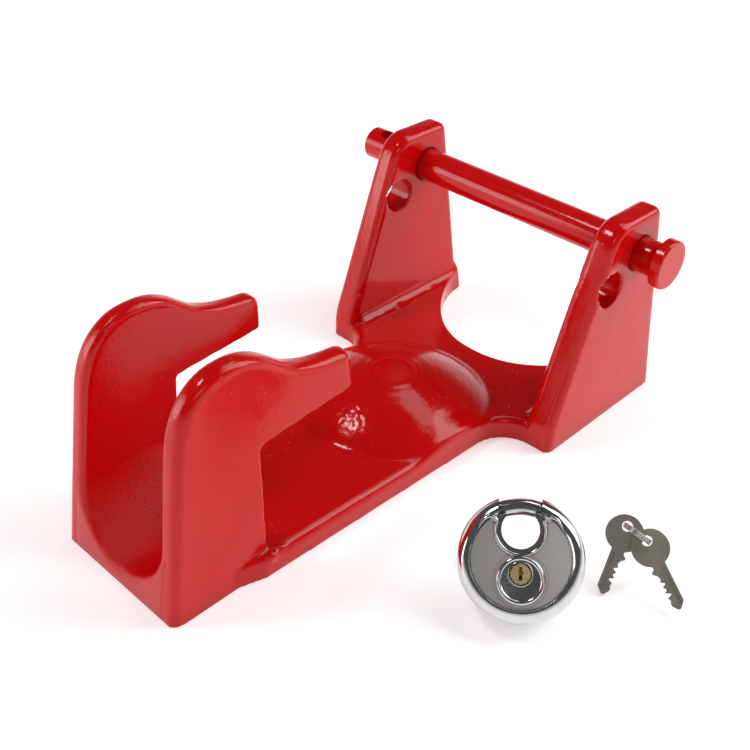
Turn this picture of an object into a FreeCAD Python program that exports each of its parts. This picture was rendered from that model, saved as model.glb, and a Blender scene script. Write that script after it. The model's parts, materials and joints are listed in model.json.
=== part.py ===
import FreeCAD, Part
import math, os

# Coupling clamp with its locking pin, a disc padlock and two keys on a ring.
# Millimetres. X runs from the fork to the uprights, Z is up, and the origin is
# on the underside of the casting, below the centre of the dome.

# ---- casting -------------------------------------------------------------
FORK_FRONT = -194.0         # front foot of the fork
FORK_REAR = 59.0            # fork depth at the base, measured from its front foot
FORK_HALF = 44.0            # half width of the fork at the base
FORK_TOP_HALF = 39.2        # half width of the fork at its crest
FORK_CREST = 125.6
FORK_SHIN = (12.5, 90.0)    # straight front edge ends here, measured from the front foot
# upper outline of each cheek from the front edge over the crest to the horn
FORK_CURVE = [FORK_SHIN, (15.0, 101.0), (18.8, 110.0), (24.4, 117.3), (31.0, 122.2), (38.5, 124.9),
              (46.5, FORK_CREST), (54.0, 125.0), (61.0, 122.8), (67.5, 119.3), (74.0, 114.6), (80.0, 110.3),
              (87.0, 107.0), (95.0, 104.4), (104.5, 102.5), (114.5, 101.2)]
HORN_R = 6.2                # rounding at the horn's tip
HORN_LOW = 83.0             # where the tip's rounding ends
HORN_HEEL = (118.7, 80.7)   # lower corner of the horn
THROAT_TOP, THROAT_BEND, THROAT_BACK = (62.6, 76.3), (59.8, 74.9), (58.7, 72.0)
THROAT_RIB = 66.0           # how far back each cheek's inner edge reaches, behind the front foot
CHEEK_LEAN_IN = 0.043       # slope of each cheek's inner face
TROUGH_R = 31.0
TROUGH_FLOOR = 8.0          # metal under the trough at the front
TROUGH_MID = TROUGH_FLOOR + TROUGH_R
PLATE_T = 13.5
PLATE_SHOULDER = 53.5       # front corner of the plate, behind the front foot
PLATE_HALF_FRONT = 48.6
PLATE_HALF_REAR = 53.7
DOME_R = 57.6               # foot of the dome
DOME_TOP = 33.0
DOME_FLAT = 14.0
UP_FRONT, UP_REAR = 36.8, 144.3
UP_HALF = 87.9              # outer face of each upright at the base
UP_HALF_TOP = 86.4
UP_IN = 69.8                # inner face of each upright at the base
UP_IN_TOP = 70.8
UP_H = 129.5
UP_LEAN = 0.340             # slope of the front edge
UP_KNEE = 16.0              # height where the front edge starts to lean
UP_REAR_TOP = 119.3
# rounded cut in the rear shelf: distance back, half width
REAR_CUT = [(76.2, 15.0), (84.3, 32.1), (92.2, 41.5), (101.7, 49.9), (110.0, 56.0), (120.0, 61.8),
            (129.5, 65.8)]
REAR_CUT_FRONT, REAR_CUT_END = 74.4, 68.6
EDGE_R = 5.0                # rounding of the casting's long edges
CHEEK_IN_R = 3.5            # inner edges of the fork cheeks

# ---- locking pin ---------------------------------------------------------
PIN_R = 10.0
PIN_BORE_R = 10.1
SPARE_BORE_R = 10.5
PIN_X, PIN_Z = 102.3, 106.4
SPARE_X, SPARE_Z = 77.0, 92.8
PIN_HEAD_Y, PIN_END_Y = -106.5, 118.0
PIN_HEAD_R, PIN_HEAD_T, PIN_FLARE = 14.2, 6.0, 5.4
CROSS_R, CROSS_Y = 5.5, 104.0

# ---- disc padlock, drawn upright with its face towards -Y -----------------
LOCK_R, LOCK_T = 30.0, 22.0
WALL = 1.6
RIM_R = 6.6                 # rounding of the rim
PANEL_R, PANEL_DROP = 23.2, 0.6   # sunk satin panel on each face
COLLAR_R = 12.4             # raised collar round the shackle window
WIN_R, WIN_Z = 8.9, 13.6    # shackle window
GAP_HALF = 10.1             # half width of the gap between the ears
SHK_R, SHK_WIRE = 24.7, 4.1
SHK_FROM, SHK_TO = -95.0, 38.0
TUNNEL = 4.3
PLUG_Z, PLUG_R = -6.7, 4.6
PLUG_FRONT, PLUG_BACK = -11.9, 4.6
HOUSE_R = 6.8
BOSS_Z, BOSS_R = -9.6, 11.4
PIN_COUNT, PIN_PITCH, PIN_FIRST = 5, 2.6, -7.2
HOUSE_FRONT = -8.5          # front end of the cylinder housing
STACK_R = 1.1
DETENT_A = -140.0           # angle of the shackle's spring ball round the disc
LOCK_AT = (-64.2, -143.0, 27.8)
LOCK_POSE = (-58.8, 44.5, -9.0)   # turn, lean back, roll

# ---- keys and ring -------------------------------------------------------
KEY_T = 2.0
BOW_R, BOW_HOLE_R, HOLE_OFF = 9.4, 2.6, 3.7
BLADE_W, BLADE_L = 6.6, 22.2
KEY_GAP = 0.3               # air between the two keys on the ring
HOLE_SPREAD = 5.75          # each bow hole's distance from the middle of the ring
HOLE_LINE = 36.0            # slope of the line through both holes, degrees
KEY_LEFT_TURN, KEY_RIGHT_TURN = 20.5, -26.0
RING_R, RING_WIRE, RING_PITCH, RING_TURNS = 7.5, 0.42, 0.94, 2.6
KEYS_AT = (-7.05, -171.05, 25.8)    # middle of the ring
KEYS_POSE = (-66.7, 42.8, -13.5)  # turn, lean back, roll


def vec(x, y, z):
    return FreeCAD.Vector(x, y, z)


def box(x0, x1, y0, y1, z0, z1):
    return Part.makeBox(x1 - x0, y1 - y0, z1 - z0, vec(x0, y0, z0))


def rod_y(r, x, z, y0, y1):
    return Part.makeCylinder(r, y1 - y0, vec(x, y0, z), vec(0, 1, 0))


def poly_face(points):
    return Part.Face(Part.makePolygon([vec(*p) for p in points + points[:1]]))


def prism(points, direction):
    return poly_face(points).extrude(vec(*direction))


def soften(shape, radius, wanted):
    """Round the edges that `wanted` picks; fall back edge by edge."""
    edges = [e for e in shape.Edges if wanted(e)]
    try:
        out = shape.makeFillet(radius, edges)
        if out.isValid() and out.Solids:
            return out
    except Exception:
        pass
    for e in edges:
        same = [s for s in shape.Edges if s.BoundBox.Center.distanceToPoint(e.BoundBox.Center) < 0.02]
        try:
            out = shape.makeFillet(radius, same[:1])
            if out.isValid() and out.Solids:
                shape = out
        except Exception:
            print("kept sharp", e.BoundBox)
    return shape


def save(shape, node):
    shape = shape.removeSplitter() if len(shape.Solids) == 1 else shape
    print(node, "valid", shape.isValid(), "solids", len(shape.Solids), "vol", round(shape.Volume, 1))
    shape.exportStep("parts/%s.step" % node)


# ---- casting -------------------------------------------------------------
def trough():
    """U-shaped channel between the cheeks; its floor climbs to the plate's top."""
    a, b = vec(-30, TROUGH_R, 80.0), vec(-30, TROUGH_R, TROUGH_MID)
    c, d = vec(-30, -TROUGH_R, TROUGH_MID), vec(-30, -TROUGH_R, 80.0)
    edges = [Part.makeLine(a, b), Part.Arc(b, vec(-30, 0, TROUGH_FLOOR), c).toShape(),
             Part.makeLine(c, d), Part.makeLine(d, a)]
    cut = Part.Face(Part.Wire(edges)).extrude(vec(165.0, 0, 0))
    cut.rotate(vec(0, 0, 0), vec(0, 1, 0), -math.degrees(math.atan2(PLATE_T - TROUGH_FLOOR, FORK_REAR)))
    cut.translate(vec(FORK_FRONT, 0, 0))
    return cut


def fork_side():
    """Side outline of the fork as an open run of edges, front foot to the rear of the hook."""
    f = FORK_FRONT
    ahead = vec(1, 0, -0.13).normalize()
    spline = Part.BSplineCurve()
    spline.interpolate(Points=[vec(f + x, 0, z) for x, z in FORK_CURVE],
                       InitialTangent=vec(FORK_SHIN[0], 0, FORK_SHIN[1]).normalize(), FinalTangent=ahead)

    def line(x0, z0, x1, z1):
        return Part.makeLine(vec(f + x0, 0, z0), vec(f + x1, 0, z1))

    def bend(x0, z0, xm, zm, x1, z1):
        return Part.Arc(vec(f + x0, 0, z0), vec(f + xm, 0, zm), vec(f + x1, 0, z1)).toShape()
    r = HORN_R
    down = vec(0.0787, 0, -0.9969)
    top = vec(FORK_CURVE[-1][0], 0, FORK_CURVE[-1][1])
    hub = vec(top.x + ahead.z * r, 0, top.z - ahead.x * r)
    out = vec(-down.z * r, 0, down.x * r)
    corner = hub + out
    mid = hub + vec(0.7071 * r, 0, 0.7071 * r)
    low = corner + down * (corner.z - HORN_LOW)
    show = [line(0, 0, *FORK_SHIN), spline.toShape(),
            bend(top.x, top.z, mid.x, mid.z, corner.x, corner.z), line(corner.x, corner.z, low.x, low.z)]
    hidden = [line(low.x, low.z, *HORN_HEEL), line(*HORN_HEEL, *THROAT_TOP),
              bend(*THROAT_TOP, *THROAT_BEND, *THROAT_BACK), line(*THROAT_BACK, FORK_REAR, 0),
              line(FORK_REAR, 0, 0, 0)]
    return show, hidden


def lies_on(run, e):
    """True for an edge that follows one of the given side-outline edges."""
    b = e.BoundBox
    if b.YLength > 4.0 or b.ZMax < 1.0:
        return False
    p = e.valueAt(0.5 * (e.FirstParameter + e.LastParameter))
    flat = Part.Vertex(vec(p.x, 0, p.z))
    return min(flat.distToShape(r)[0] for r in run) < 0.03


def cheek(s):
    show, hidden = fork_side()
    side = Part.Face(Part.Wire(show + hidden))
    block = side.extrude(vec(0, s * 60, 0))
    h = 140.0
    lean_out = (FORK_HALF - FORK_TOP_HALF) / FORK_CREST
    inner = TROUGH_R + CHEEK_LEAN_IN * TROUGH_MID
    front = FORK_FRONT - 5
    slab = prism([(front, s * inner, 0), (front, s * FORK_HALF, 0),
                  (front, s * (FORK_HALF - lean_out * h), h), (front, s * (inner - CHEEK_LEAN_IN * h), h)],
                 (130, 0, 0))
    low = PLATE_T - 2
    rear = FORK_FRONT + THROAT_RIB
    rib = prism([(FORK_FRONT + 57, s * 41, low), (FORK_FRONT + 57, s * 25, low), (rear, s * 25, low),
                 (rear - 1.0, s * 31, low)], (0, 0, 77.0 - low)).common(slab)
    block = block.common(slab)
    block = soften(block, EDGE_R, lambda e: lies_on(show, e) and abs(e.BoundBox.Center.y) > 36)
    block = soften(block, CHEEK_IN_R, lambda e: lies_on(show, e) and abs(e.BoundBox.Center.y) < 34)
    return block.fuse(rib).removeSplitter()


def fork():
    """Two hooked cheeks joined low down by the floor of the trough."""
    show, hidden = fork_side()
    web = Part.Face(Part.Wire(show + hidden)).extrude(vec(0, 72, 0))
    web.translate(vec(0, -36, 0))
    web = web.common(box(FORK_FRONT - 5, 0, -36, 36, 0, TROUGH_MID + 7.0)).cut(trough())

    def mouth(e):
        b = e.BoundBox
        p = e.valueAt(0.5 * (e.FirstParameter + e.LastParameter))
        shin = FORK_FRONT + p.z * FORK_SHIN[0] / FORK_SHIN[1]
        return abs(p.x - shin) < 0.05 and abs(p.y) < 33 and p.z > 2 and b.ZLength > 1
    web = soften(web, CHEEK_IN_R, mouth)
    return cheek(1).fuse([cheek(-1), web])


def base_outline():
    """Plan of plate, waist and shelf; the uprights' own feet close the corners."""
    front = (FORK_FRONT + PLATE_SHOULDER, PLATE_HALF_FRONT)
    r = 21.0
    t = math.atan2(PLATE_HALF_REAR - PLATE_HALF_FRONT, UP_FRONT - r - front[0])
    run = UP_FRONT - r + r * math.sin(t) - front[0]
    hub_y = front[1] + run * math.tan(t) + r * math.cos(t)

    def side(s):
        p = [vec(x, s * y, 0) for x, y in ((FORK_FRONT + 26, 40.2), front,
                                           (front[0] + run, front[1] + run * math.tan(t)))]
        turn = [vec(UP_FRONT - r + r * math.cos(math.pi / 5), s * (hub_y - r * math.sin(math.pi / 5)), 0),
                vec(UP_FRONT, s * hub_y, 0)]
        e = [Part.makeLine(p[0], p[1]), Part.makeLine(p[1], p[2]),
             Part.Arc(p[2], turn[0], turn[1]).toShape()]
        corner = [vec(UP_FRONT, s * 79.5, 0), vec(UP_FRONT + 7, s * 79.5, 0), vec(UP_REAR, s * 79.5, 0),
                  vec(UP_REAR, s * REAR_CUT_END, 0)]
        last = turn[1]
        for q in corner:
            e.append(Part.makeLine(last, q))
            last = q
        return e

    edges = side(1) + side(-1)
    edges.append(Part.makeLine(vec(FORK_FRONT + 26, 40.2, 0), vec(FORK_FRONT + 26, -40.2, 0)))
    half = [vec(UP_REAR, REAR_CUT_END, 0)] + [vec(x, y, 0) for x, y in reversed(REAR_CUT)]
    run = Part.BSplineCurve()
    run.interpolate(Points=half + [vec(REAR_CUT_FRONT, 0, 0)] + [vec(v.x, -v.y, 0) for v in reversed(half)])
    edges.append(run.toShape())
    return Part.Face(Part.Wire(Part.__sortEdges__(edges)))


def dome():
    """Shallow ball-shaped boss with a small flat on top and a hollow run at its foot."""
    crown, foot = 7.0, 8.0
    zc = ((DOME_FLAT ** 2 + DOME_TOP ** 2) - (DOME_R ** 2 + PLATE_T ** 2)) / (2.0 * (DOME_TOP - PLATE_T))
    radius = math.hypot(DOME_FLAT, DOME_TOP - zc)
    xf, zf = math.sqrt((radius + foot) ** 2 - (PLATE_T + foot - zc) ** 2), PLATE_T + foot
    a0 = math.atan2(DOME_FLAT, DOME_TOP - zc)
    a1 = math.atan2(xf, zf - zc)
    am = 0.5 * (a0 + a1)
    at = [vec(radius * math.sin(a), 0, zc + radius * math.cos(a)) for a in (a0, am, a1)]
    low = vec(xf, 0, PLATE_T)
    ang = 0.5 * (math.atan2(at[2].z - zf, at[2].x - xf) - math.pi / 2)
    if ang > -math.pi / 2:
        ang -= math.pi / 2
    mid = vec(xf + foot * math.cos(ang), 0, zf + foot * math.sin(ang))
    p = [vec(0, 0, 1), vec(0, 0, DOME_TOP), at[0]]
    q = [vec(xf, 0, 1)]
    edges = [Part.makeLine(p[0], p[1]), Part.makeLine(p[1], p[2]), Part.Arc(*at).toShape(),
             Part.Arc(at[2], mid, low).toShape(), Part.makeLine(low, q[0]), Part.makeLine(q[0], p[0])]
    body = Part.Face(Part.Wire(edges)).revolve(vec(0, 0, 0), vec(0, 0, 1), 360)

    def crown_edge(e):
        return abs(e.BoundBox.ZMin - DOME_TOP) < 0.01 and e.BoundBox.ZLength < 0.01
    return soften(body, crown, crown_edge)


def upright(s):
    def edge(z):
        return UP_FRONT - 5.0 + UP_LEAN * z
    rear_slope = (UP_REAR_TOP - UP_REAR) / UP_H
    pts = [(UP_FRONT, 0), (UP_FRONT, UP_KNEE), (edge(UP_H), UP_H), (UP_REAR + rear_slope * UP_H, UP_H),
           (UP_REAR, 0)]
    block = prism([(x, s * 60, z) for x, z in pts], (0, s * 40, 0))
    h = 140.0
    out = UP_HALF + (UP_HALF_TOP - UP_HALF) * h / UP_H
    inn = UP_IN + (UP_IN_TOP - UP_IN) * h / UP_H
    slab = prism([(30, s * UP_IN, 0), (30, s * UP_HALF, 0), (30, s * out, h), (30, s * inn, h)],
                 (130, 0, 0))
    block = block.common(slab)

    def across(x, z, r):
        return soften(block, r, lambda e: e.BoundBox.YLength > 5 and e.BoundBox.XLength < 1
                      and abs(e.BoundBox.Center.x - x) < 1.5 and abs(e.BoundBox.Center.z - z) < 1.5)
    block = across(edge(UP_H), UP_H, 19.0)
    block = across(UP_REAR_TOP, UP_H, 6.0)
    block = across(UP_FRONT, UP_KNEE, 30.0)

    def long_edges(e):
        b = e.BoundBox
        on_face = b.YLength < 3.0
        rear = b.Center.x > 120 and b.ZLength > 60
        return on_face and not rear and b.ZMax > 10 and not b.ZLength < 0.01
    block = soften(block, EDGE_R, long_edges)
    return block


def foot_fillet(s):
    """Concave run between shelf and upright."""
    r = 8.0
    lean = (UP_IN_TOP - UP_IN) / UP_H
    y, z = UP_IN, PLATE_T
    a = vec(0, s * (y + 4), z - 4)
    b = vec(0, s * (y - r), z - 4)
    c = vec(0, s * (y - r), z)
    m = vec(0, s * (y - r + r * math.sin(math.pi / 4) + 0.05), z + r - r * math.cos(math.pi / 4))
    d = vec(0, s * (y + lean * (z + r) + 0.02), z + r)
    e = vec(0, s * (y + 4), z + r)
    edges = [Part.makeLine(a, b), Part.makeLine(b, c), Part.Arc(c, m, d).toShape(), Part.makeLine(d, e),
             Part.makeLine(e, a)]
    run = Part.Face(Part.Wire(edges)).extrude(vec(150, 0, 0))
    run.translate(vec(10, 0, 0))
    reach = prism([(UP_FRONT + 4.0, -100, 0), (UP_REAR, -100, 0), (UP_REAR - 9.0, -100, 40),
                   (UP_FRONT + 12.0, -100, 40)], (0, 200, 0))
    plan = base_outline().extrude(vec(0, 0, 60))
    return run.common(reach).common(plan)


def clamp_body():
    plan = base_outline().extrude(vec(0, 0, 60))
    plan = soften(plan, 12.0, lambda e: e.BoundBox.ZLength > 50
                  and abs(e.BoundBox.Center.x - FORK_FRONT - PLATE_SHOULDER) < 0.5)
    plate = box(FORK_FRONT, 200, -100, 100, 0, PLATE_T).fuse(dome()).removeSplitter().common(plan)

    def plate_rim(e):
        p = e.valueAt(0.5 * (e.FirstParameter + e.LastParameter))
        return p.z > PLATE_T - 0.1 and abs(p.y) > 40.5 and FORK_FRONT + 27 < p.x < UP_FRONT - 0.1
    plate = soften(plate, 4.5, plate_rim)
    plate = plate.cut(trough())
    body = plate.fuse([fork(), upright(1), upright(-1), foot_fillet(1), foot_fillet(-1)])
    body = body.removeSplitter()
    slope = (UP_REAR - UP_REAR_TOP) / UP_H
    behind = prism([(UP_REAR, -100, 0), (UP_REAR + 30, -100, 0), (UP_REAR + 30, -100, 60),
                    (UP_REAR - 60 * slope, -100, 60)], (0, 200, 0))
    body = body.cut(behind)
    body = soften(body, 1.2, lambda e: PLATE_T - 0.1 < e.BoundBox.ZMin and e.BoundBox.ZMax < PLATE_T + 0.1
                  and abs(e.BoundBox.Center.y) < 5 and e.BoundBox.Center.x > 70 and e.BoundBox.YLength > 60)
    body = body.cut(rod_y(PIN_BORE_R, PIN_X, PIN_Z, -120, 120))
    return body.cut(rod_y(SPARE_BORE_R, SPARE_X, SPARE_Z, -120, 120))


def locking_pin():
    y0, y1 = PIN_HEAD_Y, PIN_END_Y
    under = y0 + PIN_HEAD_T
    pts = [(0, y0), (PIN_HEAD_R - 1.5, y0), (PIN_HEAD_R, y0 + 1.5), (PIN_HEAD_R, under)]
    c = under + PIN_FLARE
    start = vec(pts[-1][0], pts[-1][1], 0)
    end = vec(PIN_R, c, 0)
    mid = vec(PIN_R + (PIN_HEAD_R - PIN_R) * 0.32, under + PIN_FLARE * 0.30, 0)
    edges = []
    for p, q in zip(pts, pts[1:]):
        if p == pts[1]:
            high = vec(PIN_HEAD_R - 0.44, y0 + 0.44, 0)
            edges.append(Part.Arc(vec(p[0], p[1], 0), high, vec(q[0], q[1], 0)).toShape())
        else:
            edges.append(Part.makeLine(vec(p[0], p[1], 0), vec(q[0], q[1], 0)))
    edges.append(Part.Arc(start, mid, end).toShape())
    tail = [vec(PIN_R, c, 0), vec(PIN_R, y1 - 1.6, 0), vec(PIN_R - 1.6, y1, 0), vec(0, y1, 0),
            vec(0, y0, 0)]
    for p, q in zip(tail, tail[1:]):
        edges.append(Part.makeLine(p, q))
    pin = Part.Face(Part.Wire(edges)).revolve(vec(0, 0, 0), vec(0, 1, 0), 360)
    pin.translate(vec(PIN_X, 0, PIN_Z))
    cross = Part.makeCylinder(CROSS_R, 60, vec(PIN_X, CROSS_Y, PIN_Z - 30), vec(0, 0, 1))
    return pin.cut(cross)


# ---- disc padlock ---------------------------------------------------------
def disc(r, t, round_r):
    body = Part.makeCylinder(r, t, vec(0, -t / 2.0, 0), vec(0, 1, 0))
    return body.makeFillet(round_r, [e for e in body.Edges if e.BoundBox.YLength < 0.01])


def window(grow):
    """Round window with the gap above it, between the two ears."""
    hole = rod_y(WIN_R + grow, 0, WIN_Z, -40, 40)
    gap = box(-GAP_HALF - grow, GAP_HALF + grow, -40, 40, SHK_R - SHK_WIRE - 0.7, 60)
    return hole.fuse(gap)


def arc_tube(r, a0, a1):
    """Tube along the shackle's circle; angles clockwise from the top."""
    start = math.radians(a0)
    centre = vec(SHK_R * math.sin(start), 0, SHK_R * math.cos(start))
    tangent = vec(math.cos(start), 0, -math.sin(start))
    ring = Part.Face(Part.Wire(Part.makeCircle(r, centre, tangent)))
    return ring.revolve(vec(0, 0, 0), vec(0, 1, 0), a1 - a0)


def sunk_panel(face, into):
    """Shallow pocket in one face, leaving a collar round the window and a pad for the boss."""
    low, high = sorted((face, face + into * PANEL_DROP))
    low, high = (low - 2.0, high) if into > 0 else (low, high + 2.0)
    pocket = rod_y(PANEL_R, 0, 0, low, high)
    keep = rod_y(COLLAR_R, 0, WIN_Z, low - 1, high + 1)
    flare = prism([(-COLLAR_R - 1.5, low - 1, 17.0), (COLLAR_R + 1.5, low - 1, 17.0), (17.0, low - 1, 30.0),
                   (-17.0, low - 1, 30.0)], (0, high - low + 2, 0))
    pocket = pocket.cut(keep).cut(flare)
    return pocket.cut(rod_y(BOSS_R + 1.1, 0, BOSS_Z, low - 1, high + 1))


def rim_groove(face):
    """Fine turned line between the polished rim and the face."""
    return Part.makeTorus(LOCK_R - RIM_R + 0.35, 0.32, vec(0, face, 0), vec(0, 1, 0))


def case_shell():
    outer = disc(LOCK_R, LOCK_T, RIM_R).cut(window(0.0))
    inner = disc(LOCK_R - WALL, LOCK_T - 2 * WALL, RIM_R - WALL).cut(window(WALL))
    shell = outer.cut(inner)
    shell = shell.cut(arc_tube(TUNNEL, -175, 60))
    shell = shell.cut(rod_y(BOSS_R - 1.4, 0, BOSS_Z, -40, 0))
    for face, into in ((-LOCK_T / 2.0, 1.0), (LOCK_T / 2.0, -1.0)):
        shell = shell.cut(sunk_panel(face, into)).cut(rim_groove(face))
    return shell


def lock_core():
    slip = 0.06
    core = disc(LOCK_R - WALL - slip, LOCK_T - 2 * WALL - 2 * slip, RIM_R - WALL).cut(window(WALL + slip))
    core = core.cut(arc_tube(TUNNEL, -175, 60))
    core = core.cut(rod_y(HOUSE_R, 0, PLUG_Z, -40, PLUG_BACK))
    core = core.cut(box(-2.4, 2.4, -40, PLUG_BACK, -19.6, PLUG_Z))
    core = core.cut(rod_y(BOSS_R - 1.4, 0, BOSS_Z, -40, HOUSE_FRONT))
    core = core.cut(rod_y(6.2, 0, PLUG_Z, PLUG_BACK - 1, 8.0))
    return core.cut(detent_hole())


def detent_line(d):
    a = math.radians(DETENT_A)
    return vec(d * math.sin(a), 0, d * math.cos(a))


def detent_hole():
    a = detent_line(1.0)
    return Part.makeCylinder(1.65, 8.6, detent_line(12.6), a)


def detent_ball():
    return Part.makeSphere(1.5, detent_line(SHK_R - SHK_WIRE - 1.55))


def coil(r, wire, pitch, height, at, direction):
    path = Part.makeHelix(pitch, height, r)
    ring = Part.Wire(Part.makeCircle(wire, vec(r, 0, 0), vec(0, 1, 0)))
    body = Part.Wire(path).makePipeShell([ring], True, True)
    place = FreeCAD.Placement(at, FreeCAD.Rotation(vec(0, 0, 1), direction))
    body.Placement = place
    return body


def detent_spring():
    return coil(1.1, 0.22, 0.9, 3.9, detent_line(13.1), detent_line(1.0))


def shackle():
    bow = arc_tube(SHK_WIRE, SHK_FROM, SHK_TO)
    return soften(bow, 0.6, lambda e: e.BoundBox.DiagonalLength < 11 and e.Length > 20)


def keyhole_boss():
    """Drill guard round the keyway: a rounded ring with a shallow dish inside it."""
    face = -LOCK_T / 2.0 - 1.5
    low = -LOCK_T / 2.0
    wide = Part.Arc(vec(BOSS_R - 0.1, low - 0.3, 0), vec(BOSS_R - 1.0, face, 0),
                    vec(BOSS_R - 2.3, face + 0.55, 0))
    pts = [vec(BOSS_R - 2.3, face + 0.55, 0), vec(0, face + 0.95, 0), vec(0, HOUSE_FRONT - 0.06, 0),
           vec(BOSS_R - 1.45, HOUSE_FRONT - 0.06, 0), vec(BOSS_R - 1.45, low, 0), vec(BOSS_R - 0.1, low, 0),
           vec(BOSS_R - 0.1, low - 0.3, 0)]
    edges = [wide.toShape()] + [Part.makeLine(p, q) for p, q in zip(pts, pts[1:])]
    body = Part.Face(Part.Wire(edges)).revolve(vec(0, 0, 0), vec(0, 1, 0), 360)
    body.translate(vec(0, 0, BOSS_Z))
    lip = rod_y(PLUG_R + 1.3, 0, PLUG_Z, face + 0.25, face + 1.2)
    lip = soften(lip, 0.45, lambda e: abs(e.BoundBox.YMin - face - 0.25) < 0.01
                 and e.BoundBox.YLength < 0.01)
    return body.fuse(lip).cut(rod_y(PLUG_R + 0.4, 0, PLUG_Z, -40, 0))


def stack_y(i):
    return PIN_FIRST + i * PIN_PITCH


def stack(z0, z1, r):
    return Part.makeCompound([Part.makeCylinder(r, z1 - z0, vec(0, stack_y(i), z0))
                              for i in range(PIN_COUNT)])


def bores(z0, z1, r):
    out = Part.makeCylinder(r, z1 - z0, vec(0, stack_y(0), z0))
    for i in range(1, PIN_COUNT):
        out = out.fuse(Part.makeCylinder(r, z1 - z0, vec(0, stack_y(i), z0)))
    return out


def keyway():
    return box(-0.75, 0.75, -40, PLUG_BACK - 1.2, PLUG_Z - 3.0, PLUG_Z + 3.4).fuse(
        box(-0.2, 1.35, -40, PLUG_BACK - 1.2, PLUG_Z + 0.2, PLUG_Z + 1.2))


def cylinder_housing():
    body = rod_y(HOUSE_R - 0.05, 0, PLUG_Z, HOUSE_FRONT, PLUG_BACK - 0.1)
    body = body.fuse(box(-2.3, 2.3, HOUSE_FRONT, PLUG_BACK - 0.1, -19.0, PLUG_Z))
    body = body.cut(rod_y(PLUG_R + 0.06, 0, PLUG_Z, -20, 20))
    return body.cut(bores(-21, PLUG_Z, STACK_R + 0.06))


def cylinder_plug():
    body = rod_y(PLUG_R, 0, PLUG_Z, PLUG_FRONT, PLUG_BACK + 0.3)
    body = body.fuse(rod_y(2.6, 0, PLUG_Z, PLUG_BACK, PLUG_BACK + 2.9))
    body = body.cut(rod_y(8.0, 0, PLUG_Z, PLUG_BACK + 2.05, PLUG_BACK + 2.55).cut(
        rod_y(2.1, 0, PLUG_Z, PLUG_BACK + 2.0, PLUG_BACK + 2.6)))
    return body.cut(keyway()).cut(bores(PLUG_Z - PLUG_R - 1, PLUG_Z - 1.0, STACK_R + 0.06))


def plug_cam():
    y0, y1 = PLUG_BACK + 0.35, PLUG_BACK + 1.95
    body = rod_y(5.6, 0, PLUG_Z, y0, y1)
    body = body.cut(rod_y(2.62, 0, PLUG_Z, y0 - 1, y1 + 1))
    return body.cut(rod_y(0.85, 0, PLUG_Z + 4.2, y0 - 1, y1 + 1))


def cam_clip():
    y0 = PLUG_BACK + 2.08
    ring = rod_y(3.8, 0, PLUG_Z, y0, y0 + 0.42).cut(rod_y(2.15, 0, PLUG_Z, y0 - 1, y0 + 1))
    return ring.cut(box(-1.5, 1.5, y0 - 1, y0 + 1, PLUG_Z, PLUG_Z + 6))


def drive_pin():
    return rod_y(0.8, 0, PLUG_Z + 4.2, PLUG_BACK + 0.4, PLUG_BACK + 3.2)


def key_pins():
    tips = []
    for i in range(PIN_COUNT):
        top = PLUG_Z - 2.0 + 0.35 * ((i * 3) % 4)
        low = PLUG_Z - math.sqrt(PLUG_R ** 2 - STACK_R ** 2)
        tips.append(Part.makeCone(STACK_R, 0.5, 0.7, vec(0, stack_y(i), top - 0.7)).fuse(
            Part.makeCylinder(STACK_R, top - 0.7 - low, vec(0, stack_y(i), low))))
    return Part.makeCompound(tips)


def driver_pins():
    top = PLUG_Z - PLUG_R - 0.1
    return stack(top - 3.4, top, STACK_R)


def pin_springs():
    low = -18.6
    top = PLUG_Z - PLUG_R - 3.6
    tall = top - low - 0.35
    return Part.makeCompound([coil(0.75, 0.16, 0.72, tall, vec(0, stack_y(i), low + 0.17), vec(0, 0, 1))
                              for i in range(PIN_COUNT)])


def chamber_cap():
    return box(-2.3, 2.3, HOUSE_FRONT, PLUG_BACK - 0.1, -19.5, -19.0)


def stand(at, pose):
    """Placement of a loose thing: turned, leant back, then rolled about its own face."""
    turn, lean, roll = pose
    spin = FreeCAD.Rotation(vec(0, 0, 1), turn).multiply(FreeCAD.Rotation(vec(1, 0, 0), -lean))
    return FreeCAD.Placement(vec(*at), spin.multiply(FreeCAD.Rotation(vec(0, 1, 0), roll)))


def placed(shape, at, pose):
    shape = shape.copy()
    shape.Placement = stand(at, pose).multiply(shape.Placement)
    return shape


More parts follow.
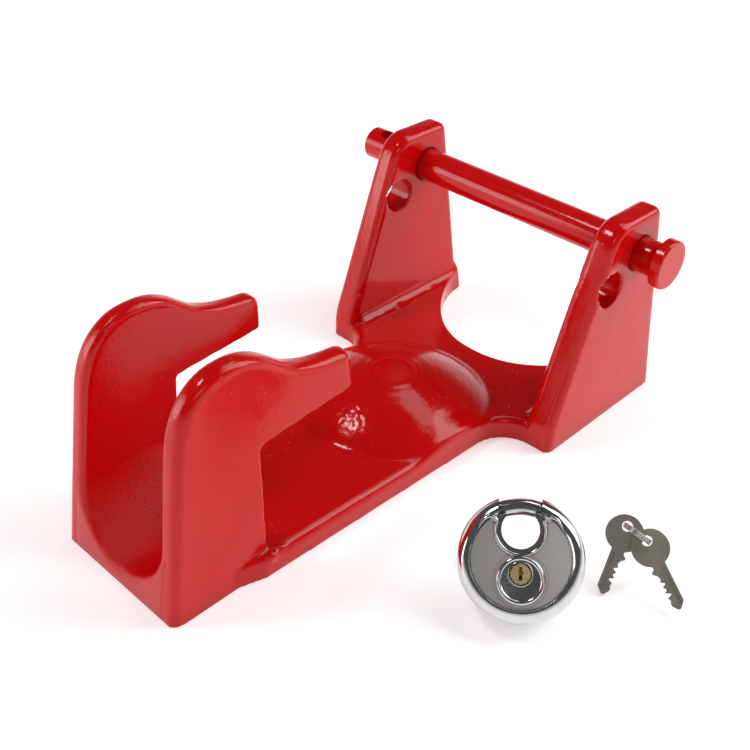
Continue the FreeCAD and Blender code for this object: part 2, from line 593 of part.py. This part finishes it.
# ---- keys, drawn upright with their faces towards -Y ----------------------
def key(bitting_right):
    """Flat key: bow hole at the origin, blade downwards, bitting on one edge."""
    bow = Part.makeCylinder(BOW_R, KEY_T, vec(0, -HOLE_OFF, 0))
    bow = soften(bow, 0.35, lambda e: e.BoundBox.ZLength < 0.01)
    y0 = -HOLE_OFF - BOW_R
    half = BLADE_W / 2.0
    top = y0 + 3.0
    pts = [(-half, top), (-half, y0 - 0.8), (-half - 1.3, y0 - 1.6), (-half - 1.5, y0 - 2.8),
           (-half + 0.2, y0 - 4.0)]
    y = y0 - 4.6
    for d in (0.9, 2.0, 1.3, 2.4, 0.8):
        pts += [(-half + d, y - 0.9), (-half + d, y - 1.6), (-half + 0.3, y - 2.5), (-half + 0.3, y - 2.8)]
        y -= 2.8
    end = y0 - BLADE_L
    pts += [(-half + 0.3, end + 2.6), (-0.9, end), (0.4, end), (half, end + 3.2), (half, top)]
    blade = prism([(x, yy, 0) for x, yy in pts], (0, 0, KEY_T))
    body = bow.fuse(blade).removeSplitter()
    body = body.cut(Part.makeCylinder(BOW_HOLE_R, 10, vec(0, 0, -3)))
    body = body.cut(box(0.9, 2.1, end - 1, y0 - 1.0, KEY_T - 0.55, KEY_T + 1))
    body = body.cut(box(-0.6, 0.3, end - 1, y0 - 1.0, -1, 0.55))
    if bitting_right:
        body = body.mirror(vec(0, 0, 0), vec(1, 0, 0))
    body.rotate(vec(0, 0, 0), vec(1, 0, 0), 90)
    return body


def hung_key(side):
    """One key turned about its hole; the right one lies in front of the left one."""
    body = key(side < 0)
    body.rotate(vec(0, 0, 0), vec(0, 1, 0), KEY_LEFT_TURN if side < 0 else KEY_RIGHT_TURN)
    a = math.radians(HOLE_LINE)
    depth = KEY_T + KEY_GAP / 2.0 if side < 0 else -KEY_GAP / 2.0
    body.translate(vec(side * HOLE_SPREAD * math.cos(a), depth, -side * HOLE_SPREAD * math.sin(a)))
    return body


def key_ring():
    """Split ring: a short tight coil whose axis lies across the keys' faces."""
    width = RING_PITCH * RING_TURNS
    ring = coil(RING_R, RING_WIRE, RING_PITCH, width, vec(0, 0, -width / 2.0), vec(0, 0, 1))
    ring.rotate(vec(0, 0, 0), vec(0, 0, 1), 200)
    ring.rotate(vec(0, 0, 0), vec(0, 1, 0), HOLE_LINE)
    return ring


def main():
    os.makedirs("parts", exist_ok=True)
    save(clamp_body(), "clamp_body")
    save(locking_pin(), "locking_pin")

    shell = case_shell()
    half = box(-40, 40, -40, 0, -40, 40)
    for node, keep in (("case_front", half), ("case_back", None)):
        part = shell.common(half) if keep else shell.cut(half)
        save(placed(part, LOCK_AT, LOCK_POSE), node)
    for node, make in (("lock_core", lock_core), ("shackle", shackle), ("keyhole_boss", keyhole_boss),
                       ("cylinder_housing", cylinder_housing), ("cylinder_plug", cylinder_plug),
                       ("plug_cam", plug_cam), ("cam_clip", cam_clip), ("drive_pin", drive_pin),
                       ("key_pins", key_pins), ("driver_pins", driver_pins), ("pin_springs", pin_springs),
                       ("chamber_cap", chamber_cap), ("detent_ball", detent_ball),
                       ("detent_spring", detent_spring)):
        save(placed(make(), LOCK_AT, LOCK_POSE), node)

    for node, shape in (("key_left", hung_key(-1)), ("key_right", hung_key(1)), ("key_ring", key_ring())):
        save(placed(shape, KEYS_AT, KEYS_POSE), node)


main()
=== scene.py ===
import json
import math

import bpy
import numpy as np
from mathutils import Matrix, Vector, noise
from mathutils.bvhtree import BVHTree


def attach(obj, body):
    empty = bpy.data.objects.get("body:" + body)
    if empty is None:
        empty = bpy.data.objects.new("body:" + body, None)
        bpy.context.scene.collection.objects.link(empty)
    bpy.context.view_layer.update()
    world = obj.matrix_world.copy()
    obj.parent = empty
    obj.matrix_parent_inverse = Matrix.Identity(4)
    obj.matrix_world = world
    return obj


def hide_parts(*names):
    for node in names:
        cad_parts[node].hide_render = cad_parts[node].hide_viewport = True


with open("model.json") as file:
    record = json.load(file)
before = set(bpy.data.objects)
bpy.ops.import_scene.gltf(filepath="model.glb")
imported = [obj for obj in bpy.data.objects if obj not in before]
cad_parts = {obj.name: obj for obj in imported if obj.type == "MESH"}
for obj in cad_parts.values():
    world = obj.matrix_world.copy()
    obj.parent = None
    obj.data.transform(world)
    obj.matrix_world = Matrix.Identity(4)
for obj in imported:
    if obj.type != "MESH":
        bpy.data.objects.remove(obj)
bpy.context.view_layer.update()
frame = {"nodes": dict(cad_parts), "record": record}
NODES = frame["nodes"]


# ---- small helpers ----------------------------------------------------------
class Net:
    """A node material being built: short calls for the nodes used here."""

    def __init__(self, name):
        self.mat = bpy.data.materials.new(name)
        self.mat.use_nodes = True
        self.tree = self.mat.node_tree
        self.tree.nodes.clear()
        self.out = self.add("ShaderNodeOutputMaterial")
        self.bsdf = self.add("ShaderNodeBsdfPrincipled")
        self.link(self.bsdf.outputs[0], self.out.inputs[0])
        self.coord = self.add("ShaderNodeTexCoord").outputs["Object"]

    def add(self, kind, **props):
        node = self.tree.nodes.new(kind)
        for k, v in props.items():
            setattr(node, k, v)
        return node

    def link(self, a, b):
        self.tree.links.new(a, b)

    def feed(self, node, **values):
        for k, v in values.items():
            socket = node.inputs[k.replace("_", " ")]
            if hasattr(v, "is_linked"):
                self.link(v, socket)
            else:
                socket.default_value = v
        return node

    def set(self, **values):
        self.feed(self.bsdf, **values)

    def moved(self, scale=(1, 1, 1)):
        m = self.add("ShaderNodeMapping")
        m.inputs["Scale"].default_value = scale
        self.link(self.coord, m.inputs["Vector"])
        return m.outputs[0]

    def local(self, place, scale=(1, 1, 1)):
        """Coordinates in a loose thing's own upright frame, in metres."""
        m = self.add("ShaderNodeMapping", vector_type="TEXTURE")
        m.inputs["Location"].default_value = place.to_translation()
        m.inputs["Rotation"].default_value = place.to_euler("XYZ")
        self.link(self.coord, m.inputs["Vector"])
        if tuple(scale) == (1, 1, 1):
            return m.outputs[0]
        grow = self.add("ShaderNodeMapping")
        grow.inputs["Scale"].default_value = scale
        self.link(m.outputs[0], grow.inputs["Vector"])
        return grow.outputs[0]

    def noise(self, scale, detail=2.0, rough=0.5, at=None):
        n = self.add("ShaderNodeTexNoise")
        self.feed(n, Vector=at or self.coord, Scale=scale, Detail=detail, Roughness=rough)
        return n.outputs["Fac"]

    def cells(self, scale):
        n = self.add("ShaderNodeTexVoronoi")
        self.feed(n, Vector=self.coord, Scale=scale)
        return n.outputs["Distance"]

    def range(self, value, lo, hi, to_lo=0.0, to_hi=1.0):
        n = self.add("ShaderNodeMapRange")
        self.feed(n, Value=value, From_Min=lo, From_Max=hi, To_Min=to_lo, To_Max=to_hi)
        return n.outputs[0]

    def math(self, op, a, b=0.0):
        n = self.add("ShaderNodeMath", operation=op)
        for i, v in enumerate((a, b)):
            if hasattr(v, "is_linked"):
                self.link(v, n.inputs[i])
            else:
                n.inputs[i].default_value = v
        return n.outputs[0]

    def mix(self, fac, a, b):
        n = self.add("ShaderNodeMix", data_type="RGBA")
        for i, v in ((0, fac), (6, a), (7, b)):
            if hasattr(v, "is_linked"):
                self.link(v, n.inputs[i])
            else:
                n.inputs[i].default_value = v
        return n.outputs[2]

    def bump(self, height, distance, strength=1.0, under=None):
        n = self.add("ShaderNodeBump")
        self.feed(n, Height=height, Distance=distance, Strength=strength)
        if under is not None:
            self.link(under, n.inputs["Normal"])
        return n.outputs[0]

    def pointiness(self):
        return self.add("ShaderNodeNewGeometry").outputs["Pointiness"]

    def occlusion(self, distance):
        n = self.add("ShaderNodeAmbientOcclusion", samples=8)
        n.inputs["Distance"].default_value = distance
        return n.outputs["AO"]


def rgb(r, g, b):
    return (r, g, b, 1.0)


# ---- where things are -----------------------------------------------------------
MM = 0.001


def loose_frame(at, turn, lean, roll):
    """Row frame of a loose thing: turned, leant back, then rolled about its own face."""
    spin = Matrix.Rotation(math.radians(turn), 4, "Z")
    spin = spin @ Matrix.Rotation(math.radians(-lean), 4, "X")
    spin = spin @ Matrix.Rotation(math.radians(roll), 4, "Y")
    return Matrix.Translation(Vector(at) * MM) @ spin


# places and attitudes (turn, lean back, roll) as the frame has them
LOCK = loose_frame((-64.2, -143.0, 27.8), -58.8, 44.5, -9.0)
KEYS = loose_frame((-7.05, -171.05, 25.8), -66.7, 42.8, -13.5)

# ---- materials ----------------------------------------------------------------
RED = rgb(0.60, 0.0018, 0.0024)
RED_THIN = rgb(0.66, 0.0045, 0.0055)
# deeper red painted where shade falls in corners and recesses
RED_SHADED = rgb(0.32, 0.0010, 0.0015)
ENAMEL_IOR = 1.39
TROUGH_BACK, TROUGH_HALF = -0.135, 0.035    # rear end and half width of the sandy channel


def enamel(name, casting):
    """Thick glossy enamel: orange peel, thin over edges, painted shade in corners and recesses where the
    enamel also pools, a few pits and pimples.
    """
    m = Net(name)
    broad = m.noise(16.0, 3.0)
    peel = m.noise(520.0 if casting else 640.0, 2.0, 0.5)
    swell = m.noise(70.0, 2.0, 0.5)
    edge = m.range(m.pointiness(), 0.53, 0.62)
    # painted shade: deeper red where occlusion within 18 mm finds corners, recesses and parts overhead,
    # with some pooled enamel in the tightest corners
    shade_and_pooling = m.range(m.occlusion(0.018), 0.35, 0.9, 1.0, 0.0)
    colour = m.mix(m.range(broad, 0.35, 0.65), RED, m.mix(0.30, RED, RED_THIN))
    colour = m.mix(m.math("MULTIPLY", edge, 0.35), colour, RED_THIN)
    # paint that shade in with the deeper red
    colour = m.mix(m.math("MULTIPLY", shade_and_pooling, 0.60), colour, RED_SHADED)
    specks = m.range(m.cells(190.0), 0.020, 0.060, 1.0, 0.0)
    few = m.range(m.noise(24.0, 2.0), 0.57, 0.64)
    specks = m.math("MULTIPLY", specks, few)
    colour = m.mix(m.math("MULTIPLY", specks, 0.35), colour, rgb(0.16, 0.002, 0.002))
    pimples = m.range(m.cells(260.0), 0.05, 0.16, 1.0, 0.0)
    pimples = m.math("MULTIPLY", pimples, m.range(m.noise(31.0, 2.0), 0.54, 0.60))
    rough = m.range(m.noise(80.0, 3.0), 0.3, 0.75, 0.09, 0.17)
    rough = m.math("ADD", rough, m.math("MULTIPLY", specks, 0.3))
    n = m.bump(swell, 0.0005 if casting else 0.0004, 0.35)
    n = m.bump(peel, 0.00010 if casting else 0.00006, 0.6, n)
    n = m.bump(specks, 0.0005, -0.7, n)
    n = m.bump(pimples, 0.0004, 0.45, n)
    if casting:     # sandy walls low down in the trough
        parts = m.add("ShaderNodeSeparateXYZ")
        m.link(m.coord, parts.inputs[0])
        inside = m.range(m.math("ABSOLUTE", parts.outputs[1]), TROUGH_HALF - 0.002, TROUGH_HALF, 1.0, 0.0)
        trough = m.math("MULTIPLY", m.range(parts.outputs[0], TROUGH_BACK - 0.015, TROUGH_BACK, 1.0, 0.0),
                        inside)
        trough = m.math("MULTIPLY", trough, m.range(parts.outputs[2], 0.030, 0.060, 1.0, 0.25))
        sand = m.math("MULTIPLY", trough, m.noise(900.0, 3.0, 0.65))
        n = m.bump(sand, 0.0006, 0.75, n)
    m.set(Base_Color=colour, Roughness=rough, Normal=n)
    m.bsdf.inputs["IOR"].default_value = ENAMEL_IOR
    return m.mat


def metal(name, colour, rough, brush=(1, 1, 1), brush_scale=900.0, depth=0.00002, tarnish=0.25,
          place=None):
    """Bare or plated metal with a grain, fingerprints and painted shade darkening its corners."""
    m = Net(name)
    at = m.local(place, brush) if place is not None else m.moved(brush)
    grain = m.noise(brush_scale, 2.0, 0.6, at)
    cloud = m.noise(70.0, 4.0, 0.6)
    fine = m.noise(2600.0, 2.0, 0.6)
    # painted shade: darker where occlusion within 3 mm finds corners and crevices
    crevice_shade = m.range(m.occlusion(0.003), 0.3, 0.9, 1.0, 0.0)
    dark = rgb(*(c * 0.40 for c in colour))
    body = m.mix(m.math("MULTIPLY", m.range(cloud, 0.4, 0.7), tarnish), rgb(*colour), dark)
    # paint that corner shade into the body colour
    body = m.mix(m.math("MULTIPLY", crevice_shade, 0.65), body, dark)
    r = m.math("ADD", m.range(grain, 0.3, 0.7, rough - 0.04, rough + 0.05),
               m.range(cloud, 0.3, 0.8, -0.02, 0.05))
    n = m.bump(grain, depth, 0.5)
    n = m.bump(fine, depth * 0.4, 0.4, n)
    m.set(Base_Color=body, Roughness=r, Metallic=1.0, Normal=n)
    return m.mat


def lock_case(name, panel_r, collar_r, window_z):
    """Stainless case: mirror rim and collar, satin panel brushed in circles, fine scratches, painted
    shade in crevices and low down near the floor.
    """
    m = Net(name)
    local = m.local(LOCK)
    parts = m.add("ShaderNodeSeparateXYZ")
    m.link(local, parts.inputs[0])
    x, z = parts.outputs[0], parts.outputs[2]

    def radius(cz):
        dz = m.math("SUBTRACT", z, cz)
        return m.math("SQRT", m.math("ADD", m.math("MULTIPLY", x, x), m.math("MULTIPLY", dz, dz)))
    r_case = radius(0.0)
    inside = m.range(r_case, panel_r - 0.0003, panel_r + 0.0001, 1.0, 0.0)
    collar = m.range(radius(window_z), collar_r - 0.0002, collar_r + 0.0003, 0.0, 1.0)
    satin = m.math("MULTIPLY", inside, collar)
    rings = m.add("ShaderNodeTexNoise", noise_dimensions="1D")
    m.feed(rings, W=r_case, Scale=5200.0, Detail=3.0, Roughness=0.65)
    scratch = m.noise(260.0, 3.0, 0.7, m.local(LOCK, (1.0, 1.0, 9.0)))
    cloud = m.noise(55.0, 3.0, 0.55)
    # painted shade: near-black in crevices, where occlusion finds parts within 1.6 mm
    crevice_shade = m.range(m.occlusion(0.0016), 0.25, 0.85, 1.0, 0.0)
    # painted shade and painted dark reflection: darkens the case low down where the floor or the clamp
    # lies within 12 mm
    under = m.range(m.occlusion(0.012), 0.30, 0.75, 1.0, 0.0)
    body = m.mix(m.range(cloud, 0.35, 0.7), rgb(0.68, 0.68, 0.69), rgb(0.60, 0.59, 0.58))
    body = m.mix(m.math("MULTIPLY", satin, 0.75), body, rgb(0.74, 0.69, 0.64))
    # paint the crevice shade in
    body = m.mix(m.math("MULTIPLY", crevice_shade, 0.75), body, rgb(0.10, 0.10, 0.11))
    # paint that low shade in near-black
    body = m.mix(m.math("MULTIPLY", under, 0.6), body, rgb(0.10, 0.10, 0.11))
    polished = m.range(scratch, 0.35, 0.75, 0.05, 0.11)
    brushed = m.range(rings.outputs["Fac"], 0.3, 0.7, 0.30, 0.42)
    rough = m.math("ADD", m.math("MULTIPLY", satin, brushed),
                   m.math("MULTIPLY", m.math("SUBTRACT", 1.0, satin), polished))
    n = m.bump(m.math("MULTIPLY", rings.outputs["Fac"], satin), 0.000035, 0.5)
    n = m.bump(scratch, 0.000012, 0.3, n)
    m.set(Base_Color=body, Roughness=rough, Metallic=1.0, Normal=n)
    return m.mat


# the padlock's sunk panel, the collar round its window and the window's height, in metres
PANEL_R, COLLAR_R, WINDOW_Z = 0.0232, 0.0124, 0.0136
BRASS = (0.80, 0.58, 0.22)
NICKEL = (0.62, 0.56, 0.49)
NICKEL_WORN = (0.60, 0.54, 0.47)
MATERIALS = {
    "casting_enamel": enamel("casting_enamel", True),
    "pin_enamel": enamel("pin_enamel", False),
    "stainless_front": lock_case("stainless_front", PANEL_R, COLLAR_R, WINDOW_Z),
    "stainless_back": lock_case("stainless_back", PANEL_R, COLLAR_R, WINDOW_Z),
    "stainless_boss": metal("stainless_boss", (0.62, 0.62, 0.63), 0.08, tarnish=0.10),
    "hardened_steel": metal("hardened_steel", (0.55, 0.55, 0.57), 0.13, brush_scale=420.0, depth=0.00006,
                            tarnish=0.20),
    "zinc_core": metal("zinc_core", (0.42, 0.43, 0.45), 0.42, brush_scale=500.0, depth=0.00008,
                       tarnish=0.5),
    "brass_housing": metal("brass_housing", BRASS, 0.26, tarnish=0.3),
    "brass_plug": metal("brass_plug", (0.98, 0.78, 0.36), 0.26, depth=0.000004, tarnish=0.15),
    "cam_steel": metal("cam_steel", (0.40, 0.40, 0.41), 0.34, tarnish=0.35),
    "spring_steel": metal("spring_steel", (0.46, 0.46, 0.48), 0.25, tarnish=0.25),
    "brass_pins": metal("brass_pins", (0.74, 0.56, 0.26), 0.24, tarnish=0.25),
    "ball_steel": metal("ball_steel", (0.68, 0.68, 0.70), 0.08, tarnish=0.08),
    "nickel_left": metal("nickel_left", NICKEL, 0.30, (7, 1, 1), 420.0, 0.00005, 0.45, place=KEYS),
    "nickel_right": metal("nickel_right", NICKEL_WORN, 0.32, (7, 1, 1), 450.0, 0.00005, 0.5, place=KEYS),
    "ring_steel": metal("ring_steel", (0.50, 0.48, 0.45), 0.20, tarnish=0.35),
}


def dress(obj, slot):
    obj.data.materials.clear()
    obj.data.materials.append(MATERIALS[slot])


for entry in frame["record"]["subparts"]:
    dress(NODES[entry["node"]], entry["material_slot"])
    NODES[entry["node"]].data.shade_smooth()


# ---- casting skin ----------------------------------------------------------------
VOXEL = 0.0011
SNAP = 0.85             # how far the even mesh goes back to the frame's own surface
STANDING = 0.0004       # below this height the underside stays flat
CALM = 0.006            # the unevenness fades out below this height
BORE_WALL = 0.0009      # vertices this near a bore's radius are put on it
BORE_MARGIN = 0.004     # no unevenness this near a bore
BORES_FROM_Y = 0.06     # the bores lie in the uprights, further out than this
BORES = ((0.1023, 0.1064, 0.0101), (0.077, 0.0928, 0.0105))   # x, z, radius of the cross bores
LUMPS = (   # centre (mm), radii along x, y, z (mm), height (mm): runs, beads and pits of the casting
    ((-136.0, -48.0, 12.0), (5.0, 3.0, 4.5), 1.3),
    ((-140.5, -46.0, 7.0), (4.5, 2.6, 3.6), 0.9),
    ((-129.0, -47.4, 12.4), (5.0, 2.2, 2.4), 0.6),
    ((-136.0, 48.0, 12.0), (5.0, 3.0, 4.5), 1.1),
    ((77.0, 64.5, 15.0), (6.0, 4.0, 3.0), 0.7),
    ((92.0, 62.5, 14.2), (4.0, 3.0, 3.0), 0.5),
    ((58.0, 65.0, 15.4), (5.0, 4.0, 3.0), -0.4),
    ((110.0, 65.5, 16.0), (7.0, 3.5, 3.0), 0.4),
    ((72.0, -65.0, 15.0), (6.0, 4.0, 3.0), 0.6),
    ((45.0, 72.0, 34.0), (2.0, 3.0, 2.4), -0.5),
    ((50.5, 73.5, 52.0), (1.6, 2.0, 3.2), -0.45),
    ((46.5, 70.0, 44.0), (1.8, 2.0, 3.0), 0.35),
    ((46.0, -86.5, 38.0), (2.2, 2.0, 3.0), -0.4),
    ((-186.5, 41.0, 52.0), (2.4, 1.8, 2.2), -0.45),
    ((-186.0, -33.0, 58.0), (2.2, 1.8, 3.4), 0.35),
    ((-189.5, -36.0, 36.0), (2.0, 2.0, 3.0), -0.35),
    ((-190.0, 30.5, 40.0), (2.0, 1.6, 7.0), 0.35),
    ((-164.0, -41.0, 120.0), (2.6, 2.2, 2.0), -0.3),
)
# faint steps round the top of the dome: radius, width and height (mm)
CROWN_RINGS = ((15.2, 2.0, 0.26), (12.0, 2.4, -0.08), (22.0, 2.8, 0.12))
# rough spot on the front of the dome: centre, radii and depth (mm)
PATCH = ((-38.0, -6.0), (11.0, 15.0), 0.30)


def lump(p, centre, radii, height):
    q = sum(((p[i] - centre[i]) / radii[i]) ** 2 for i in range(3))
    return height * (1.0 - q) ** 2 if q < 1.0 else 0.0


def relief(p):
    """Height in mm of the casting's own unevenness at a point given in mm."""
    v = Vector(p)
    h = 0.14 * noise.noise(v * 0.040) + 0.035 * noise.noise(v * 0.13 + Vector((7, 3, 1)))
    for centre, radii, height in LUMPS:
        if abs(p[0] - centre[0]) < radii[0] and abs(p[1] - centre[1]) < radii[1]:
            h += lump(p, centre, radii, height)
    r = math.hypot(p[0], p[1])
    if r < 26.0 and p[2] > 24.0:
        h += sum(height * math.exp(-((r - at) / wide) ** 2) for at, wide, height in CROWN_RINGS)
    (px, py), (rx, ry), depth = PATCH
    q = ((p[0] - px) / rx) ** 2 + ((p[1] - py) / ry) ** 2
    if q < 1.0 and 12.0 < p[2] < 34.0:
        h += (1.0 - q) * depth * (noise.noise(v * 0.42) + 0.6 * noise.noise(v * 0.9))
    return h


def casting_skin(node):
    """The casting with its own unevenness: remeshed, snapped back to the frame, then displaced."""
    src = NODES[node]
    corners = np.array([tuple(v.co) for v in src.data.vertices])
    low, high = corners.min(axis=0), corners.max(axis=0)
    skin = bpy.data.objects.new("casting_skin", src.data.copy())
    bpy.context.scene.collection.objects.link(skin)
    remesh = skin.modifiers.new("even", "REMESH")
    remesh.mode, remesh.voxel_size = "VOXEL", VOXEL
    relax = skin.modifiers.new("relax", "SMOOTH")
    relax.factor, relax.iterations = 0.5, 4
    graph = bpy.context.evaluated_depsgraph_get()
    mesh = bpy.data.meshes.new_from_object(skin.evaluated_get(graph))
    skin.modifiers.clear()
    skin.data = mesh
    tree = BVHTree.FromObject(src, graph)
    normals = [v.normal.copy() for v in mesh.vertices]
    for v, n in zip(mesh.vertices, normals):
        near = tree.find_nearest(v.co)[0]
        co = v.co.lerp(near, SNAP if v.co.z > 0.002 else 1.0)
        keep = co.z < STANDING
        calm = min(1.0, co.z / CALM)
        for bx, bz, br in BORES:
            d = math.hypot(co.x - bx, co.z - bz)
            if abs(d - br) < BORE_WALL and abs(co.y) > BORES_FROM_Y:
                co = Vector((bx + (co.x - bx) * br / d, co.y, bz + (co.z - bz) * br / d))
                keep = True
            elif d < br + BORE_MARGIN and abs(co.y) > BORES_FROM_Y:
                keep = True
        if not keep:
            co = co + n * relief((co.x / MM, co.y / MM, co.z / MM)) * calm * MM
        v.co = co
    flat = np.empty(len(mesh.vertices) * 3)
    mesh.vertices.foreach_get("co", flat)
    flat = np.clip(flat.reshape(-1, 3), low, high)
    mesh.vertices.foreach_set("co", flat.ravel())
    mesh.update()
    mesh.shade_smooth()
    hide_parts(node)
    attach(skin, "clamp")
    dress(skin, "casting_enamel")


casting_skin("clamp_body")

# ---- beads pressed into the padlock's faces ---------------------------------------
BEAD_R = 0.0006
BEAD_RUN_R = 0.0117     # radius of the bead's run round the window
FACE = 0.0110           # each face of the padlock, from its middle


def smooth_run(points, steps):
    """Points along a Catmull-Rom curve through the given ones."""
    out = []
    for i in range(len(points) - 1):
        a, b, c, d = (Vector(points[max(0, min(len(points) - 1, i + k))]) for k in (-1, 0, 1, 2))
        for k in range(steps):
            t = k / steps
            out.append(0.5 * (2 * b + (c - a) * t + (2 * a - 5 * b + 4 * c - d) * t * t
                              + (3 * b - a - 3 * c + d) * t ** 3))
    return out + [Vector(points[-1])]


def bead(name, run, radius, place, sides=12):
    """Tube along a run of points; its ends taper to nothing."""
    verts, faces = [], []
    for i, p in enumerate(run):
        along = (run[min(i + 1, len(run) - 1)] - run[max(i - 1, 0)]).normalized()
        side = along.cross(Vector((0, 1, 0))).normalized()
        lift = side.cross(along)
        grow = min(1.0, 0.12 + i / 7.0, 0.12 + (len(run) - 1 - i) / 7.0)
        for k in range(sides):
            a = 2 * math.pi * k / sides
            verts.append(place @ (p + (side * math.cos(a) * 1.25 + lift * math.sin(a)) * radius * grow))
    for i in range(len(run) - 1):
        for k in range(sides):
            a, b = i * sides + k, i * sides + (k + 1) % sides
            faces.append((a, b, b + sides, a + sides))
    last = (len(run) - 1) * sides
    faces += [tuple(reversed(range(sides))), tuple(range(last, last + sides))]
    mesh = bpy.data.meshes.new(name)
    mesh.from_pydata(verts, [], faces)
    mesh.shade_smooth()
    obj = bpy.data.objects.new(name, mesh)
    bpy.context.scene.collection.objects.link(obj)
    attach(obj, "padlock")
    dress(obj, "stainless_front")


def collar_run(y, r):
    """Round the window and out to the rim on both sides of the gap."""
    angles = np.radians(np.linspace(160, 380, 15))
    arc = [(r * math.cos(a), y, WINDOW_Z + r * math.sin(a)) for a in angles]
    left = [(-0.0195, y, 0.0138), (-0.0170, y, 0.0182), (-0.0132, y, 0.0196)]
    return smooth_run(left + arc + [(-x, y, z) for x, _, z in reversed(left)], 6)


for name, y in (("collar_bead_front", -FACE), ("collar_bead_back", FACE)):
    bead(name, collar_run(y, BEAD_RUN_R), BEAD_R, LOCK)

# ---- stage ---------------------------------------------------------------------
FLOOR_SIZE = 60.0
SKY_LOW, SKY_HIGH = 0.95, 0.09
bpy.ops.mesh.primitive_plane_add(size=FLOOR_SIZE)
floor = bpy.context.object
floor.name = "floor"
paper = Net("floor_paper")
shade = paper.mix(paper.noise(6.0, 3.0), rgb(0.93, 0.93, 0.93), rgb(0.96, 0.96, 0.96))
paper.set(Base_Color=shade, Roughness=0.6)
# lit from below, as a light table, and more so further out
paper.bsdf.inputs["Emission Color"].default_value = rgb(1.0, 1.0, 1.0)
far = paper.add("ShaderNodeVectorMath", operation="LENGTH")
paper.link(paper.coord, far.inputs[0])
paper.set(Emission_Strength=paper.range(far.outputs["Value"], 0.6, 1.8, 0.44, 1.0))
floor.data.materials.append(paper.mat)

world = bpy.data.worlds.new("studio")
world.use_nodes = True
bpy.context.scene.world = world
sky = world.node_tree
background = sky.nodes["Background"]
direction = sky.nodes.new("ShaderNodeTexCoord").outputs["Generated"]
split = sky.nodes.new("ShaderNodeSeparateXYZ")
sky.links.new(direction, split.inputs[0])
band = sky.nodes.new("ShaderNodeMapRange")      # pale walls round the set, dark ceiling above
band.interpolation_type = "SMOOTHSTEP"
for name, value in (("From Min", 0.06), ("From Max", 0.42), ("To Min", SKY_LOW), ("To Max", SKY_HIGH)):
    band.inputs[name].default_value = value
sky.links.new(split.outputs[2], band.inputs["Value"])
background.inputs["Color"].default_value = rgb(1.0, 1.0, 1.0)
sky.links.new(band.outputs[0], background.inputs["Strength"])
bpy.context.scene.view_settings.view_transform = "Standard"


def softbox(name, at, aim, size, watts):
    data = bpy.data.lights.new(name, "AREA")
    data.shape = "RECTANGLE"
    data.size, data.size_y = size
    data.energy = watts
    o = bpy.data.objects.new(name, data)
    bpy.context.scene.collection.objects.link(o)
    o.location = at
    o.rotation_mode = "QUATERNION"
    o.rotation_quaternion = (Vector(aim) - Vector(at)).to_track_quat("-Z", "Y")


TARGET = (-0.01, -0.01, 0.04)
softbox("key", (1.10, -0.88, 1.15), TARGET, (0.9, 1.3), 16.5)
softbox("top", (-0.55, 0.62, 1.60), TARGET, (0.34, 0.26), 5.5)
softbox("overhead", (0.62, -0.07, 1.46), TARGET, (1.0, 0.40), 3.2)
softbox("left", (-1.15, 0.95, 0.50), TARGET, (0.55, 0.75), 6.0)
softbox("front", (-0.62, -0.95, 1.10), TARGET, (0.55, 0.35), 1.2)

# ---- camera ----------------------------------------------------------------------
YAW, PITCH, ROLL = math.radians(42.65), math.radians(35.39), math.radians(2.33)
CAMERA_AT = Vector((-0.3795, -0.3354, 0.3883))
SENSOR, LENS = 36.0, 51.35
ahead = Vector((math.cos(PITCH) * math.cos(YAW), math.cos(PITCH) * math.sin(YAW), -math.sin(PITCH)))
right = ahead.cross(Vector((0, 0, 1))).normalized()
above = right.cross(ahead)
across = math.cos(ROLL) * right + math.sin(ROLL) * above
upward = -math.sin(ROLL) * right + math.cos(ROLL) * above
camera_data = bpy.data.cameras.new("camera")
camera_data.sensor_width = SENSOR
camera_data.lens = LENS
camera_data.clip_start, camera_data.clip_end = 0.02, 30.0
camera = bpy.data.objects.new("camera", camera_data)
bpy.context.scene.collection.objects.link(camera)
turn = Matrix((across, upward, -ahead)).transposed().to_4x4()
camera.matrix_world = Matrix.Translation(CAMERA_AT) @ turn
bpy.context.scene.camera = camera
